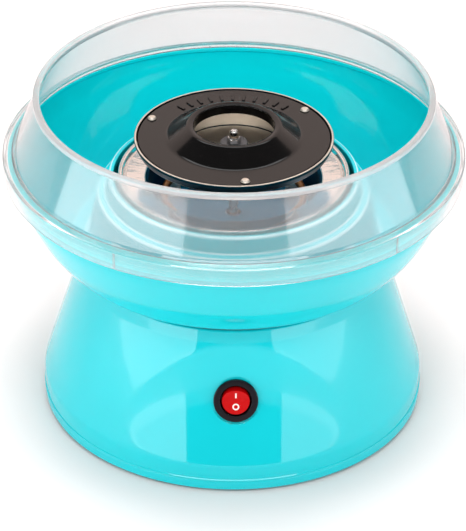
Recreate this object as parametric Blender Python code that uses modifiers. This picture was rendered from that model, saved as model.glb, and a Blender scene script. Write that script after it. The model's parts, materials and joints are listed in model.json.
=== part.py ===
"""Table-top cotton candy machine, in metres, +Z up.

The origin is the bottom centre, on the surface that the feet stand on. The switch faces -Y.
Outlines are (radius, height) points in millimetres, which the helpers turn into metres.
"""

import math

import bmesh
import bpy
from mathutils import Matrix, Vector

MM = 0.001
NAME = "cotton_candy_machine"

# Driving dimensions, in millimetres.
GAP = 0.3                 # clearance between touching pieces
WALL = 3.6                # moulded wall of the housing
GUARD_R = 125.0           # skirt of the clear guard, the widest place
GUARD_TOP = 187.0
GUARD_WALL = 2.0
BOWL_RIM_R = 122.0
BOWL_RIM_Z = 151.5
BOWL_FLOOR_Z = 97.3
BOWL_HOLE_R = 65.3        # hole in the raised middle of the bowl
DECK_R = 79.0             # recessed deck that the bowl stands on
DECK_Z = 92.3
TOWER_R = 62.0            # upright collar of the housing that holds the heat pan
TOWER_TOP = 134.5
BASE_R = 106.0
COVER_TOP = 7.0
FLOOR_Z = (3.0, 5.5)      # bottom cover's floor
FOOT_RING = 88.0
COVER_SCREW_RING = 94.5
BRACKET_Z = (104.0, 105.5)
BRACKET_SCREW_RING = 54.5
PAN_FLOOR_Z = 112.8
PAN_SCREW_RING = 30.0
PAN_RIM_R = 63.0
SHEET = 0.8               # sheet metal of the heat pan and the head
HEATER_R = 38.0
HEATER_Z = 124.0
HEATER_TUBE = 2.2
LEG_ANGLES = (101, 79)    # where the heater's two legs go down, at the rear
SHAFT_R = 2.5
BORE_R = SHAFT_R + GAP
STUD_R = 1.5              # threaded end of the shaft
HEAD_R = 54.0
HEAD_TOP = 160.0          # flat of the head's cover
CUP_R = 32.0
CUP_FLOOR = 149.4
COVER_HOLE_R = 21.8
RIVET_RING = 48.5
MOTOR_R = 19.5
SWITCH_Z = 51.0
SWITCH_Y = -92.2
SWITCH_TILT = math.radians(15)     # how far the switch looks up
ROCKER_SWING = math.radians(11)    # each way from level
BEZEL_R = 12.0
DISH_DEPTH = 2.0
DISH_HEIGHT = 60.0
DISH_RADIUS = 116.5       # sideways radius of the shallow dish round the switch
WALL_LEAN = math.radians(16.7)
GLAND_Z = 16.0

# Segments of the round pieces.
LARGE = 32
MEDIUM = 20
SMALL = 10

CYAN = (0.006, 0.66, 0.75, 1)
CLEAR = (0.86, 0.90, 0.92, 1)
BLACK = (0.07, 0.05, 0.047, 1)
DARK = (0.015, 0.014, 0.016, 1)
STEEL = (0.62, 0.60, 0.58, 1)
CHROME = (0.80, 0.79, 0.77, 1)
RED = (0.65, 0.002, 0.002, 1)
COPPER = (0.72, 0.33, 0.12, 1)
CERAMIC = (0.80, 0.77, 0.70, 1)
MICA = (0.52, 0.44, 0.30, 1)
BRASS = (0.70, 0.52, 0.20, 1)
IRON = (0.22, 0.22, 0.23, 1)
BOARD = (0.03, 0.20, 0.08, 1)
BRONZE = (0.42, 0.28, 0.15, 1)


def clear_scene():
    for obj in list(bpy.data.objects):
        bpy.data.objects.remove(obj, do_unlink=True)


def new_collection(name):
    made = bpy.data.collections.new(name)
    bpy.context.scene.collection.children.link(made)
    return made


def new_material(name, colour, roughness, metallic=0.0, alpha=1.0):
    made = bpy.data.materials.new(name)
    made.use_nodes = True
    shader = made.node_tree.nodes["Principled BSDF"]
    shader.inputs["Base Color"].default_value = colour
    shader.inputs["Roughness"].default_value = roughness
    shader.inputs["Metallic"].default_value = metallic
    shader.inputs["Alpha"].default_value = alpha
    made.diffuse_color = colour
    return made


def link(name, mesh, collection, material=None):
    obj = bpy.data.objects.new(name, mesh)
    collection.objects.link(obj)
    if material:
        obj.data.materials.append(material)
    return obj


def clockwise(outline):
    """The outline turned so that it runs down its outer side."""
    ahead = outline[1:] + outline[:1]
    area = sum(a[0] * b[1] - b[0] * a[1] for a, b in zip(outline, ahead))
    return outline if area < 0 else outline[::-1]


def arc(centre, radius, start, end, count):
    """Points on an arc, from one angle to another in degrees."""
    turns = [math.radians(start + (end - start) * i / count) for i in range(count + 1)]
    return [(centre[0] + radius * math.cos(t), centre[1] + radius * math.sin(t)) for t in turns]


def polar(radius, degrees):
    turn = math.radians(degrees)
    return radius * math.cos(turn), radius * math.sin(turn)


def sheet_outline(top, thickness):
    """A closed outline of even thickness under an open one that runs inwards."""
    under = []
    for i, point in enumerate(top):
        before = Vector(top[max(i - 1, 0)])
        after = Vector(top[min(i + 1, len(top) - 1)])
        here = Vector(point)
        sides = [s.normalized() for s in (here - before, after - here) if s.length > 1e-6]
        normals = [Vector((-s.y, s.x)) for s in sides]
        mitre = sum(normals, Vector((0, 0))).normalized()
        under.append(tuple(here + mitre * thickness / max(mitre.dot(normals[0]), 0.5)))
    return list(top) + under[::-1]


def turned(name, outline, material, collection, steps=LARGE):
    """A turned piece. An outline that starts and ends on the axis is solid, and any other is a ring."""
    outline = clockwise(outline)
    solid = outline[0][0] == 0 or outline[-1][0] == 0
    if solid:
        first = next(i for i, p in enumerate(outline) if p[0] == 0 and outline[i - 1][0] == 0)
        outline = outline[first:] + outline[:first]
    count = len(outline)
    edges = [(i, i + 1) for i in range(count - 1)]
    if not solid:
        edges.append((count - 1, 0))
    mesh = bpy.data.meshes.new(name)
    mesh.from_pydata([(r * MM, 0, z * MM) for r, z in outline], edges, [])
    obj = link(name, mesh, collection, material)
    screw = obj.modifiers.new("turn", "SCREW")
    screw.axis = "Z"
    screw.angle = math.tau
    screw.steps = steps
    screw.render_steps = steps
    screw.use_merge_vertices = True
    screw.merge_threshold = 0.00001
    screw.use_smooth_shade = True
    return obj


def block(name, size, material, collection, bevel=0.0):
    """A box centred on its origin, with its sides bevelled where a width is given."""
    mesh = bpy.data.meshes.new(name)
    shape = bmesh.new()
    bmesh.ops.create_cube(shape, size=1.0)
    bmesh.ops.scale(shape, vec=Vector(size) * MM, verts=shape.verts)
    shape.to_mesh(mesh)
    shape.free()
    obj = link(name, mesh, collection, material)
    if bevel:
        edge = obj.modifiers.new("edge", "BEVEL")
        edge.width = bevel * MM
        edge.segments = 1
    return obj


def rod(name, radius, low, high, material, collection, steps=SMALL):
    """A round bar along Z."""
    return turned(name, [(0, high), (radius, high), (radius, low), (0, low)], material, collection, steps)


def slab(name, outline, thickness, material, collection):
    """A flat outline in XY, extruded evenly about its own plane."""
    curve = bpy.data.curves.new(name, "CURVE")
    curve.dimensions = "2D"
    curve.fill_mode = "BOTH"
    curve.extrude = thickness * MM / 2
    line = curve.splines.new("POLY")
    line.points.add(len(outline) - 1)
    for point, (x, y) in zip(line.points, outline):
        point.co = (x * MM, y * MM, 0, 1)
    line.use_cyclic_u = True
    return link(name, curve, collection, material)


def wire(name, route, radius, material, collection):
    """A tube along the points of a route, with closed ends."""
    curve = bpy.data.curves.new(name, "CURVE")
    curve.dimensions = "3D"
    curve.bevel_depth = radius * MM
    curve.bevel_resolution = 2
    curve.use_fill_caps = True
    line = curve.splines.new("POLY")
    line.points.add(len(route) - 1)
    for point, place in zip(line.points, route):
        point.co = (*(Vector(place) * MM), 1)
    return link(name, curve, collection, material)


def smooth_route(points, per_span=5):
    """Points along a smooth curve through the given ones."""
    ends = [points[0]] + list(points) + [points[-1]]
    route = []
    for a, b, c, d in zip(ends, ends[1:], ends[2:], ends[3:]):
        a, b, c, d = Vector(a), Vector(b), Vector(c), Vector(d)
        for step in range(per_span):
            t = step / per_span
            route.append(0.5 * (2 * b + (c - a) * t + (2 * a - 5 * b + 4 * c - d) * t ** 2
                                + (3 * b - a - 3 * c + d) * t ** 3))
    return route + [Vector(points[-1])]


def as_mesh(obj):
    """The same piece with its curve turned into a closed mesh, so that it can be cut."""
    evaluated = obj.evaluated_get(bpy.context.evaluated_depsgraph_get())
    mesh = bpy.data.meshes.new_from_object(evaluated)
    shape = bmesh.new()
    shape.from_mesh(mesh)
    bmesh.ops.remove_doubles(shape, verts=shape.verts, dist=0.00001)
    shape.to_mesh(mesh)
    shape.free()
    name = obj.name
    collection = obj.users_collection[0]
    place = obj.matrix_world.copy()
    bpy.data.objects.remove(obj, do_unlink=True)
    made = link(name, mesh, collection)
    made.matrix_world = place
    return made


def join(target, tool, operation):
    step = target.modifiers.new(tool.name, "BOOLEAN")
    step.operation = operation
    step.solver = "EXACT"
    step.object = tool
    tool.hide_render = True
    tool.display_type = "WIRE"


def cut(target, *tools):
    for tool in tools:
        join(target, tool, "DIFFERENCE")


def add(target, *tools):
    for tool in tools:
        join(target, tool, "UNION")


def place(obj, x=0.0, y=0.0, z=0.0, turn=(0.0, 0.0, 0.0), parent=None):
    obj.location = Vector((x, y, z)) * MM
    obj.rotation_euler = turn
    obj.parent = parent
    return obj


def around(count, radius, first):
    """Evenly spaced places round the axis: (number, x, y, degrees)."""
    for i in range(count):
        degrees = first + 360 * i / count
        yield i + 1, *polar(radius, degrees), degrees


# The housing's outer face, from its shoulder down to the parting line.
HOUSING_FACE = [(83.9, 88.2), (92.1, 60), (101.2, 30), (104.2, 20), (105.7, 12), (BASE_R, COVER_TOP + GAP)]
WALL_AT_SWITCH = 94.7     # radius of the face at the switch's height


def switch_turn(extra=0.0):
    """The turn that points a piece's +Z out through the front wall at the switch."""
    return (math.radians(90) - SWITCH_TILT + extra, 0, 0)


def dish_tool(collection):
    """A ring whose inner face is the dish: an arc from top to bottom, turned about a far axis that leans back."""
    deepest_y = -WALL_AT_SWITCH + DISH_DEPTH * math.cos(WALL_LEAN)
    deepest_z = SWITCH_Z - DISH_DEPTH * math.sin(WALL_LEAN)
    half = DISH_HEIGHT / 2 / math.cos(WALL_LEAN)
    radius = (half ** 2 + DISH_DEPTH ** 2) / (2 * DISH_DEPTH)
    heights = [half * 1.5 * (i / 4 - 1) for i in range(9)]
    face = [(DISH_RADIUS + radius - math.sqrt(radius ** 2 - z ** 2), z) for z in heights]
    far = DISH_RADIUS + 40
    ring = turned("dish_tool", face + [(far, heights[-1]), (far, heights[0])], None, collection, 2 * LARGE)
    back = deepest_y + DISH_RADIUS * math.cos(WALL_LEAN)
    return place(ring, 0, back, deepest_z - DISH_RADIUS * math.sin(WALL_LEAN), (-WALL_LEAN, 0, 0))


def make_housing(parts, tools, cyan):
    """The outer shell, its deck and the collar for the heat pan, moulded in one."""
    collar_in = TOWER_R - 2.5
    top = [(TOWER_R - 11, TOWER_TOP), (TOWER_R, TOWER_TOP), (TOWER_R, DECK_Z), (73.2, DECK_Z), (73.2, 96),
           (75.6, 96), (75.6, DECK_Z), (DECK_R, DECK_Z), (DECK_R, 89.6), (82.6, 89.3)]
    lining = [(r - WALL / math.cos(WALL_LEAN), z) for r, z in HOUSING_FACE[:0:-1]]
    under = [(79.0, 86.6), (DECK_R - 3, 87.4), (DECK_R - 3, DECK_Z - 2.5), (collar_in, DECK_Z - 2.5),
             (collar_in, 101), (50, 101), (50, 103.7), (collar_in, 103.7), (collar_in, TOWER_TOP - 2.5),
             (TOWER_R - 11, TOWER_TOP - 2.5)]
    housing = turned("base_housing", top + HOUSING_FACE + lining + under, cyan, parts)

    for i, x, y, _ in around(3, COVER_SCREW_RING, 60):
        boss = rod(f"boss_{i}", 4.2, FLOOR_Z[1] + GAP, 36, None, tools)
        hole = rod(f"boss_hole_{i}", STUD_R + 0.4, 0, 19.5, None, tools)
        add(housing, place(boss, x, y))
        cut(housing, place(hole, x, y))
    for i, x, y, _ in around(3, BRACKET_SCREW_RING, 30):
        cut(housing, place(rod(f"ledge_hole_{i}", STUD_R + 0.4, 98, 104, None, tools), x, y))
    seat = rod("switch_seat", BEZEL_R + 1.2, 0, 12, None, tools, MEDIUM)
    opening = rod("switch_opening", 10.3, -14, 12, None, tools, MEDIUM)
    gland = rod("gland_opening", 5.8, -12, 12, None, tools, MEDIUM)
    place(gland, 0, BASE_R, GLAND_Z, (math.radians(90), 0, 0))
    cut(housing, dish_tool(tools), place(seat, 0, SWITCH_Y, SWITCH_Z, switch_turn()))
    cut(housing, place(opening, 0, SWITCH_Y, SWITCH_Z, switch_turn()), gland)


def make_bottom(parts, tools, cyan, rubber, steel):
    """The bottom cover with its vents, its feet and its screws."""
    low, high = FLOOR_Z
    cover = turned("bottom_cover", [(0, high), (99.4, high), (99.4, 9.5), (101.6, 9.5), (101.6, COVER_TOP),
                                    (BASE_R - 0.1, COVER_TOP), (BASE_R - 0.1, 2.6), (BASE_R - 1.1, 1.5),
                                    (103.2, 1.5), (102.4, low), (0, low)], cyan, parts)
    for i, x, y, degrees in around(8, 52, 0):
        vent = block(f"vent_{i}", (26, 3, 8), None, tools)
        cut(cover, place(vent, x, y, (low + high) / 2, (0, 0, math.radians(degrees))))
    foot_outline = [(0, 8.2), (2.0, 8.2), (3.6, 5.9), (2.6, 5.8), (2.6, 2.7), (8.0, 2.7), (8.5, 2.2),
                    (8.2, 0.4), (7.6, 0), (0, 0)]
    for i, x, y, _ in around(4, FOOT_RING, 45):
        place(turned(f"foot_{i}", foot_outline, rubber, parts, SMALL), x, y)
        cut(cover, place(rod(f"foot_hole_{i}", 3.0, 0, 8, None, tools), x, y))
    for i, x, y, _ in around(3, COVER_SCREW_RING, 60):
        place(screw(f"cover_screw_{i}", 2.7, 16, steel, parts, head_up=False), x, y)
        cut(cover, place(rod(f"cover_screw_hole_{i}", STUD_R + 0.4, 0, 8, None, tools), x, y))


def screw(name, seat, length, material, collection, head_up=True):
    """A self-tapping pan-head screw whose head sits on the height given as its seat."""
    outline = [(0, 1.8), (1.9, 1.7), (3.0, 0.8), (3.0, 0), (STUD_R, 0), (STUD_R, -length + 2.5),
               (0, -length)]
    way = 1 if head_up else -1
    return turned(name, [(r, seat + way * z) for r, z in outline], material, collection, SMALL)


def make_motor(parts, tools, steel, iron, dark, bronze, brass):
    """The bracket across the collar and the motor that hangs from it."""
    low, high = BRACKET_Z
    bracket = turned("motor_bracket", [(7.0, high), (57, high), (57, low), (7.0, low)], steel, parts)
    for i, x, y, _ in around(3, BRACKET_SCREW_RING, 30):
        place(screw(f"bracket_screw_{i}", high + GAP, 10, steel, parts), x, y)
        cut(bracket, place(rod(f"bracket_hole_{i}", STUD_R + 0.4, low - 2, high + 2, None, tools), x, y))
    for i, x, y, _ in around(3, PAN_SCREW_RING, 90):
        cut(bracket, place(rod(f"spacer_hole_{i}", STUD_R + 0.4, low - 2, high + 2, None, tools), x, y))
    for i, degrees in enumerate(LEG_ANGLES, 1):
        hole = rod(f"lead_hole_{i}", 4.0, low - 2, high + 2, None, tools)
        cut(bracket, place(hole, *polar(HEATER_R, degrees)))

    turned("motor_can", [(6.5, 106.2), (6.5, 103.7), (18.7, 103.7), (MOTOR_R, 102.9), (MOTOR_R, 62),
                         (18.5, 62), (18.5, 102.4), (5.3, 102.4), (5.3, 106.2)], iron, parts, MEDIUM)
    turned("motor_end_cap", [(18.2, 64.5), (18.2, 61.7), (MOTOR_R, 61.7), (MOTOR_R, 59), (8, 59), (7.2, 55),
                             (5.3, 55), (5.3, 61.4), (16.6, 61.4), (16.6, 64.5)], dark, parts, MEDIUM)
    for name, bottom in (("upper_bearing", 99.6), ("lower_bearing", 55.2)):
        turned(name, [(5.0, bottom + 6), (5.0, bottom), (BORE_R, bottom), (BORE_R, bottom + 6)],
               bronze, parts, SMALL)
    for i, middle in enumerate((0, 180), 1):
        outline = arc((0, 0), 18.1, middle - 62, middle + 62, 10) + arc((0, 0), 15.0, middle + 62, middle - 62, 10)
        place(slab(f"motor_magnet_{i}", outline, 28, iron, parts), z=82)
    for i, x, y, degrees in around(2, 8.6, 90):
        brush = block(f"motor_brush_{i}", (5, 3, 4), dark, parts)
        place(brush, x, y, 65.2, (0, 0, math.radians(degrees)))


def make_heater(parts, tools, chrome, steel, copper, ceramic, mica_brown, dark):
    """The polished heat pan, with the tubular heater that it holds on ceramic posts."""
    top = [(PAN_RIM_R, 135.4), (PAN_RIM_R, 137.5), (61.6, 138.5), (59.0, 136.2), (48.3, 135.7), (46.6, 133.7),
           (46.0, 115.0), (43.8, PAN_FLOOR_Z), (13, PAN_FLOOR_Z)]
    pan = turned("heat_pan", sheet_outline(top, SHEET), chrome, parts)
    mica = turned("mica_insulator", [(13, 111.2), (42, 111.2), (42, 110.2), (13, 110.2)], mica_brown, parts,
                  MEDIUM)
    for i, x, y, _ in around(3, PAN_SCREW_RING, 90):
        spacer = [(3.6, 109.9), (3.6, 105.8), (STUD_R + 0.4, 105.8), (STUD_R + 0.4, 109.9)]
        place(turned(f"pan_spacer_{i}", spacer, steel, parts, SMALL), x, y)
        place(screw(f"pan_screw_{i}", PAN_FLOOR_Z + GAP, 13, steel, parts), x, y)
        hole = place(rod(f"pan_hole_{i}", STUD_R + 0.4, 108, 116, None, tools), x, y)
        cut(pan, hole)
        cut(mica, hole)
    for i, x, y, _ in around(3, HEATER_R, 30):
        top_z = HEATER_Z - HEATER_TUBE - GAP
        post = [(0, top_z), (3.2, top_z), (4.0, top_z - 0.8), (4.0, PAN_FLOOR_Z + GAP), (0, PAN_FLOOR_Z + GAP)]
        place(turned(f"heater_post_{i}", post, ceramic, parts, SMALL), x, y)
    for i, degrees in enumerate(LEG_ANGLES, 1):
        x, y = polar(HEATER_R, degrees)
        hole = place(rod(f"leg_hole_{i}", HEATER_TUBE + 0.7, 108, 116, None, tools), x, y)
        cut(pan, hole)
        cut(mica, hole)
    start, end = LEG_ANGLES
    sweep = end + 360 - start
    loop = [(*polar(HEATER_R, start + sweep * i / 34), HEATER_Z) for i in range(1, 34)]
    first = [(*polar(HEATER_R, start), z) for z in (102.5, 112, HEATER_Z - 3.5)]
    last = [(*polar(HEATER_R, end), z) for z in (HEATER_Z - 3.5, 112, 102.5)]
    wire("heater_ring", first + loop + last, HEATER_TUBE, copper, parts)
    cutout = [(0, 110), (5.0, 110), (6.5, 109.4), (8.2, 109.2), (8.2, BRACKET_Z[1] + GAP), (0, BRACKET_Z[1] + GAP)]
    place(turned("thermal_cutout", cutout, dark, parts, MEDIUM), *polar(27, 0))


def make_board(parts, tools, green, steel, cover):
    """The rectifier board on two posts of the bottom cover."""
    board = block("rectifier_board", (40, 26, 1.6), green, parts)
    place(board, -52, 0, 14.2)
    for i, (x, y, size) in enumerate(((-8, 5, (6, 10, 7)), (2, 5, (6, 10, 7)), (-3, -7, (18, 7, 9))), 1):
        add(board, place(block(f"component_{i}", size, None, tools), -52 + x, y, 14.6 + size[2] / 2))
    for i, x in enumerate((-68, -36), 1):
        post = rod(f"board_post_{i}", 3.4, FLOOR_Z[0] + 1, 13.1, None, tools)
        hole = rod(f"board_hole_{i}", STUD_R + 0.4, FLOOR_Z[0] + 1.5, 18, None, tools)
        add(cover, place(post, x, 0))
        cut(cover, place(hole, x, 0))
        cut(board, hole)
        place(screw(f"board_screw_{i}", 15.3, 8, steel, parts), x, 0)


def make_switch(parts, dark, red, brass, tools):
    """The round rocker switch, built looking along +Z and turned to look out of the wall."""
    mount = bpy.data.objects.new("switch_axis", None)
    parts.objects.link(mount)
    place(mount, 0, SWITCH_Y, SWITCH_Z, switch_turn())
    housing = turned("switch_housing", [(0, -6.5), (8.5, -6.5), (8.5, 1.6), (8.9, 2.0), (11.2, 2.0),
                                        (BEZEL_R, 1.2), (BEZEL_R, GAP), (9.9, GAP), (9.9, -16.5), (9.3, -17),
                                        (0, -17)], dark, parts, MEDIUM)
    housing.parent = mount
    for i, y in enumerate((-4.5, 4.5), 1):
        place(block(f"switch_terminal_{i}", (6.3, 0.8, 8), brass, parts), 0, y, -21.3, parent=mount)

    side = [(7.7, 3.0), (7.7, -1.0), (6.0, -4.5), (-6.0, -4.5), (-7.7, -1.0), (-7.7, 3.0), (0, 1.5)]
    outline = place(slab("rocker_side", side, 20, red, parts), turn=(math.radians(90), 0, math.radians(90)))
    bpy.context.view_layer.update()
    rocker = as_mesh(outline)
    rocker.name = "switch_rocker"
    rocker.data.transform(rocker.matrix_world)
    rocker.matrix_world = Matrix.Identity(4)
    join(rocker, rod("rocker_round", 7.9, -8, 8, None, tools, MEDIUM), "INTERSECT")
    bpy.data.objects["rocker_round"].parent = rocker
    place(rocker, 0, SWITCH_Y, SWITCH_Z, switch_turn(ROCKER_SWING))


def make_wires(parts, copper_red, dark, grey):
    """The leads between the switch, the board, the motor and the heater."""
    routes = {
        "wire_switch_to_board": ([(0, -63.6, 38.5), (-4, -56, 36), (-16, -50, 26), (-34, -32, 20), (-44, -8, 24),
                                  (-46, 4, 24.6)], copper_red),
        "wire_board_to_motor": ([(-60, 6, 24.6), (-56, 14, 34), (-40, 18, 48), (-27, 12, 57), (-16, 9, 57.6)],
                                dark),
        "wire_board_to_heater": ([(-64, -6, 24.9), (-66, 20, 40), (-48, 40, 70), (-20, 42, 88),
                                  (*polar(HEATER_R, LEG_ANGLES[0]), 100.4)], grey),
    }
    for name, (route, material) in routes.items():
        wire(name, smooth_route(route), 1.1, material, parts)


def make_spinner(parts, tools, steel, silver, black, iron, brass, dark):
    """Everything that turns: the shaft with its armature and fan, and the head on top."""
    turned("motor_shaft", [(0, 161.0), (STUD_R, 160.5), (STUD_R, 155.5), (SHAFT_R, 155.5), (SHAFT_R, 41.5),
                           (2.0, 41.0), (0, 41.0)], steel, parts, SMALL)
    turned("motor_armature", [(14, 94), (14, 70), (BORE_R, 70), (BORE_R, 94)], iron, parts, MEDIUM)
    turned("motor_commutator", [(5.6, 69), (5.6, 62.2), (BORE_R, 62.2), (BORE_R, 69)], brass, parts, SMALL)
    fan = turned("cooling_fan", [(6.5, 52), (6.5, 42), (BORE_R, 42), (BORE_R, 52)], dark, parts, SMALL)
    for i, x, y, degrees in around(6, 16.5, 15):
        blade = block(f"fan_blade_{i}", (22.5, 1.3, 10), None, tools)
        add(fan, place(blade, x, y, 47, (math.radians(38), 0, math.radians(degrees))))

    turned("drive_hub", [(7.0, 148.3), (7.0, 140), (BORE_R, 140), (BORE_R, 148.3)], brass, parts, MEDIUM)
    floor = CUP_FLOOR - SHEET
    pan = turned("head_pan", [(52.6, HEAD_TOP + 0.2), (HEAD_R - 0.3, HEAD_TOP + 0.4), (HEAD_R, HEAD_TOP),
                              (HEAD_R, 155.4), (HEAD_R - 0.6, 155.0), (CUP_R + 1.2, 155.0), (CUP_R + 0.4, floor),
                              (BORE_R, floor), (BORE_R, CUP_FLOOR), (CUP_R - 0.4, CUP_FLOOR), (CUP_R + 0.4, 155.9),
                              (52.6, 155.9)], silver, parts)
    dome = [(52.1, 158.2), (52.1, HEAD_TOP), (36.0, HEAD_TOP + 0.2), (31.0, 162.8), (25.6, 166.6), (23.2, 167.6),
            (COVER_HOLE_R, 166.6), (COVER_HOLE_R, 162.0)]
    cover = turned("head_cover", sheet_outline(dome, 0.9), black, parts)
    rivet = [(0, 161.5), (1.6, 161.3), (2.5, 160.4), (1.3, 160.4), (1.3, 158.7), (2.5, 158.7), (2.5, 156.3),
             (1.3, 156.3), (1.3, 154.7), (2.4, 154.7), (1.8, 153.8), (0, 153.6)]
    for i, x, y, _ in around(3, RIVET_RING, 36):
        place(turned(f"head_rivet_{i}", rivet, silver, parts, SMALL), x, y)
        hole = place(rod(f"rivet_hole_{i}", 1.7, 150, 165, None, tools), x, y)
        cut(pan, hole)
        cut(cover, hole)
    turned("head_spacer", [(7.0, 155.3), (9.0, CUP_FLOOR + GAP), (BORE_R, CUP_FLOOR + GAP), (BORE_R, 155.3)],
           silver, parts, MEDIUM)
    turned("clamp_washer", [(7.0, 156.8), (7.4, 156.4), (7.4, 155.8), (STUD_R + GAP, 155.8),
                            (STUD_R + GAP, 156.8)], steel, parts, MEDIUM)
    turned("cap_nut", [(0, 164.2), (1.4, 163.9), (2.5, 162.7), (2.8, 161.2), (2.8, 160.2), (3.8, 159.6),
                       (3.8, 157.1), (STUD_R + GAP, 157.1), (STUD_R + GAP, 161.4), (0, 161.4)], steel, parts,
           SMALL)


def make_bowl(parts, cyan):
    """The catching bowl, whose raised middle covers the collar of the housing."""
    rim = [(117.2, BOWL_RIM_Z), (121.4, BOWL_RIM_Z), (BOWL_RIM_R, BOWL_RIM_Z - 0.7)]
    outside = [(118, 135), (113.4, 125), (109.6, 117), (106, 110), (101.7, 105), (97.4, 100), (93.5, 96.8),
               (90.6, 95.1), (88.0, 94.8), (78.8, 94.8), (78.8, 92.6)]
    hidden = [(76.2, 92.6), (76.0, 103), (70.6, 125.9), (68.2, 126.6), (67.2, 133.5)]
    middle = [(BOWL_HOLE_R, 133.5), (BOWL_HOLE_R, 136.9), (66.1, 137.7), (67.6, 137.1), (69.0, 135.5),
              (70.4, 128.9), (73.0, 127.8), (80.6, 99.2), (83.2, BOWL_FLOOR_Z)]
    lining = [(88.6, BOWL_FLOOR_Z), (93.0, 99.9), (99.0, 105.9), (103.4, 110.9), (107.2, 118), (111.0, 126.1),
              (115.4, 135.6), (118.6, 148.6), (117.2, 149.6)]
    turned("bowl", rim + outside + hidden + middle + lining, cyan, parts)


def make_guard(parts, clear):
    """The clear guard: a tapering wall with a beaded top, on a skirt that goes over the bowl's rim."""
    outside = [(104.6, GUARD_TOP), (106.6, GUARD_TOP), (107.8, 186.1), (107.8, 184.8), (106.9, 184.0),
               (118.9, 155.2), (119.9, 154.1), (124.2, 153.6), (GUARD_R, 152.8), (GUARD_R, 143)]
    lining = [(GUARD_R - GUARD_WALL, 143), (GUARD_R - GUARD_WALL, 151.8), (117.6, 151.8), (116.8, 153.4),
              (104.4, 183.2), (103.8, 186.2)]
    turned("splash_guard", outside + lining, clear, parts)


def make_gland(parts, dark):
    """The bush in the rear wall that the mains lead goes through."""
    outline = [(3.6, 6.2), (6.4, 6.2), (7.6, 5.2), (7.6, 2.0), (5.4, 1.6), (5.4, -7.0), (7.2, -7.3), (6.4, -10.8),
               (3.6, -10.8)]
    bush = turned("cord_gland", outline, dark, parts, MEDIUM)
    place(bush, 0, BASE_R, GLAND_Z, (math.radians(-90), 0, 0))


def main():
    clear_scene()
    parts = new_collection(NAME)
    tools = new_collection(NAME + "_tools")
    cyan = new_material("cyan_plastic", CYAN, 0.18)
    clear = new_material("clear_plastic", CLEAR, 0.15, alpha=0.35)
    black = new_material("black_enamel", BLACK, 0.35)
    dark = new_material("dark_plastic", DARK, 0.4)
    rubber = new_material("rubber", DARK, 0.8)
    steel = new_material("steel", STEEL, 0.3, 1.0)
    silver = new_material("brushed_aluminium", STEEL, 0.35, 1.0)
    chrome = new_material("polished_steel", CHROME, 0.08, 1.0)
    red = new_material("red_plastic", RED, 0.15)
    copper = new_material("heater_sheath", COPPER, 0.4, 1.0)
    ceramic = new_material("ceramic", CERAMIC, 0.5)
    mica = new_material("mica", MICA, 0.6)
    brass = new_material("brass", BRASS, 0.3, 1.0)
    iron = new_material("iron", IRON, 0.5, 1.0)
    green = new_material("circuit_board", BOARD, 0.5)
    bronze = new_material("bronze", BRONZE, 0.5, 1.0)

    make_housing(parts, tools, cyan)
    make_bottom(parts, tools, cyan, rubber, steel)
    make_board(parts, tools, green, steel, parts.objects["bottom_cover"])
    make_motor(parts, tools, steel, iron, dark, bronze, brass)
    make_heater(parts, tools, chrome, steel, copper, ceramic, mica, dark)
    make_switch(parts, dark, red, brass, tools)
    make_gland(parts, dark)
    make_wires(parts, red, dark, rubber)
    make_spinner(parts, tools, steel, silver, black, iron, brass, dark)
    make_bowl(parts, cyan)
    make_guard(parts, clear)


main()
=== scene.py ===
"""The looks of a table-top cotton candy machine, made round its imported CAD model.

Outlines are (radius, height, rounding) points in millimetres, in the frame of the model.
"""

import json
import math

import bmesh
import bpy
import numpy as np
from mathutils import Euler, Matrix, Vector


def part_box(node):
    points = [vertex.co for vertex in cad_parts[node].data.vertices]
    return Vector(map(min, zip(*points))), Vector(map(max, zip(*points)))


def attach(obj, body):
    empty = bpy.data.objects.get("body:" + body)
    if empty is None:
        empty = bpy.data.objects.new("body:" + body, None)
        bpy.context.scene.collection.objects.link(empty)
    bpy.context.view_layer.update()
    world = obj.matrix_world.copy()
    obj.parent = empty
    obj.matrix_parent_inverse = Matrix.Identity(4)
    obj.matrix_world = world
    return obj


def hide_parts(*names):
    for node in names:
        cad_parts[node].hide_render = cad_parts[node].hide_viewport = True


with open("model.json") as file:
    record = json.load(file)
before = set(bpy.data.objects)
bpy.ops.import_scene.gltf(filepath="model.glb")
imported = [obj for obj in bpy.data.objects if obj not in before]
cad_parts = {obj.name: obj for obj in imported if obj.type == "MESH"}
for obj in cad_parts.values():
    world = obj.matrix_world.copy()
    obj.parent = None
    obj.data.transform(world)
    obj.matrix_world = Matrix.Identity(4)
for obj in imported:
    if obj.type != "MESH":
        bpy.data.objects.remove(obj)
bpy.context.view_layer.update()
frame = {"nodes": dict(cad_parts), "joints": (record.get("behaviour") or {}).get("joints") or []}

MM = 0.001

FINEST = 360      # segments round the housing
FINER = 320       # segments round the bowl and the guard
FINE = 256        # segments round the other large pieces
SWITCH = 128      # segments round the switch's pieces
MEDIUM = 96       # segments round the head's small pieces
SMALL = 64        # segments round the screws and other small pieces
HOLE = 32         # segments round a screw hole
ARC = 6           # points on a rounded corner
FINE_ARC = 10     # points on a rounded corner that shows its reflections
AXIS = 1e-6       # a point nearer to the axis than this is on it
SHARP = math.radians(38)      # edges that bend more than this stay sharp
NOISE_RANGE = 0.3, 0.7        # most of a noise's values are between these


def low(node):
    """The lowest corner of a node's box, in millimetres."""
    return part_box(node)[0] / MM


def high(node):
    """The highest corner of a node's box, in millimetres."""
    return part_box(node)[1] / MM


def middle(node):
    return (low(node) + high(node)) / 2


def reach(node):
    """The radius of a turned node about the machine's axis, in millimetres."""
    return high(node).x


# ---------------------------------------------------------------- materials

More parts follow.
